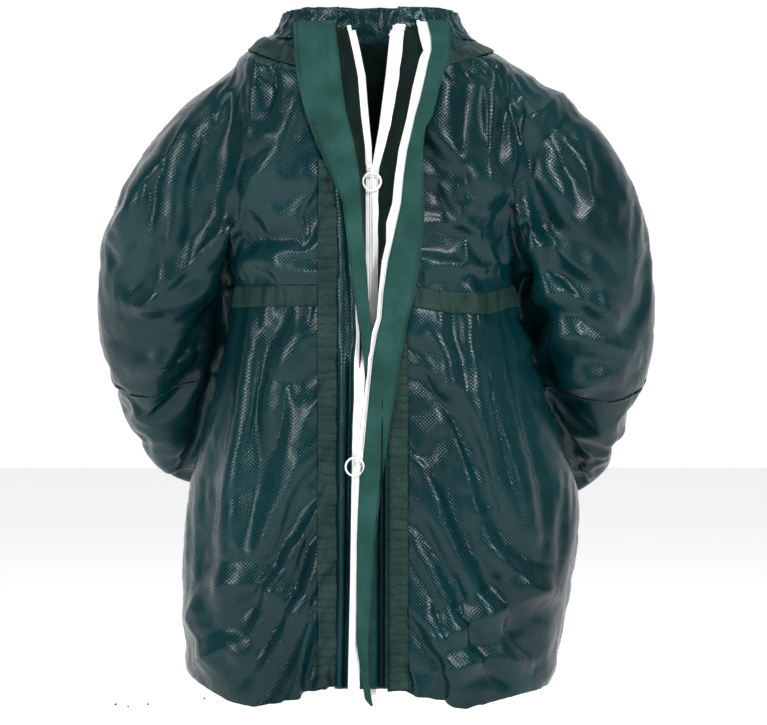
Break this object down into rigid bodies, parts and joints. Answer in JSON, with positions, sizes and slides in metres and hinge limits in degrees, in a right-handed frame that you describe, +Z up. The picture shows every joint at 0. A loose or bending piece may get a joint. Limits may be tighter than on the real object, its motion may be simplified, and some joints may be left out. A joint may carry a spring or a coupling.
{
  "type": "protective jacket",
  "caption": "Hip-length coated protective jacket with stand collar, two nested front zips, two storm flaps, taped seams and elastic cuffs.",
  "frame": {"origin": "on the wearer's neck line, level with the lowest point of the neck seam at the front", "axes": "+Z up, -Y is the front of the jacket, +X is the wearer's left side"},
  "size_m": [0.5822, 0.3848, 0.722],
  "materials": {
    "coated_fabric": "glossy coated dark teal",
    "matt_lining": "matt green non-woven",
    "seam_tape": "matt olive green tape",
    "white_plastic": "satin white",
    "elastic": "covered elastic"
  },
  "bodies": {
    "jacket": {"front_panel_right": "coated_fabric", "front_panel_left": "coated_fabric", "back_panel": "coated_fabric", "hem_front_right": "coated_fabric", "hem_front_left": "coated_fabric", "hem_back": "coated_fabric", "collar": "coated_fabric", "neck_tape": "seam_tape", "front_tape_right": "seam_tape", "front_tape_left": "seam_tape", "waist_tape_right": "seam_tape", "waist_tape_left": "seam_tape", "waist_tape_back": "seam_tape", "waist_elastic": "elastic", "sleeve_upper_right": "coated_fabric", "sleeve_upper_left": "coated_fabric", "sleeve_lower_right": "coated_fabric", "sleeve_lower_left": "coated_fabric", "cuff_right": "coated_fabric", "cuff_left": "coated_fabric", "elbow_seam_right": "seam_tape", "elbow_seam_left": "seam_tape", "cuff_elastic_right": "elastic", "cuff_elastic_left": "elastic", "front_facing_right": "coated_fabric", "front_facing_left": "coated_fabric", "inner_zip_tape_right": "white_plastic", "inner_zip_tape_left": "white_plastic", "inner_zip_coil_right": "white_plastic", "inner_zip_coil_left": "white_plastic", "inner_zip_top_stops": "white_plastic", "inner_zip_bottom_box": "white_plastic", "storm_placket_right": "coated_fabric", "storm_placket_left": "coated_fabric", "outer_zip_tape_right": "white_plastic", "outer_zip_tape_left": "white_plastic", "outer_zip_coil_right": "white_plastic", "outer_zip_coil_left": "white_plastic", "outer_zip_top_stops": "white_plastic", "outer_zip_bottom_box": "white_plastic"},
    "inner_slider": {"inner_slider_body": "white_plastic"},
    "inner_puller": {"inner_ring_puller": "white_plastic"},
    "outer_slider": {"outer_slider_body": "white_plastic"},
    "outer_puller": {"outer_ring_puller": "white_plastic"},
    "inner_flap": {"inner_storm_flap": "matt_lining"},
    "outer_flap": {"outer_storm_flap": "matt_lining"}
  },
  "joints": [
    {"name": "inner_zip_slide", "type": "slide", "parent": "jacket", "child": "inner_slider", "axis": [0, -0.0698, -0.9976], "range_m": [0, 0.52]},
    {"name": "inner_puller_swing", "type": "hinge", "parent": "inner_slider", "child": "inner_puller", "pos_m": [0, -0.11361, -0.13363], "axis": [1, 0, 0], "range_deg": [-150, 0]},
    {"name": "outer_zip_slide", "type": "slide", "parent": "jacket", "child": "outer_slider", "axis": [-0.0244, -0.0698, -0.9973], "range_m": [0, 0.225]},
    {"name": "outer_puller_swing", "type": "hinge", "parent": "outer_slider", "child": "outer_puller", "pos_m": [-0.01415, -0.14765, -0.42796], "axis": [-0.9997, 0.0017, 0.0244], "range_deg": [0, 150]},
    {"name": "inner_flap_fold", "type": "hinge", "parent": "jacket", "child": "inner_flap", "pos_m": [0.0005, -0.1384, -0.34516], "axis": [-0.1184, 0.0693, 0.9905], "range_deg": [0, 110]},
    {"name": "outer_flap_fold", "type": "hinge", "parent": "jacket", "child": "outer_flap", "pos_m": [-0.019, -0.16215, -0.67731], "axis": [0.1066, 0.0694, 0.9919], "range_deg": [-110, 0]}
  ]
}
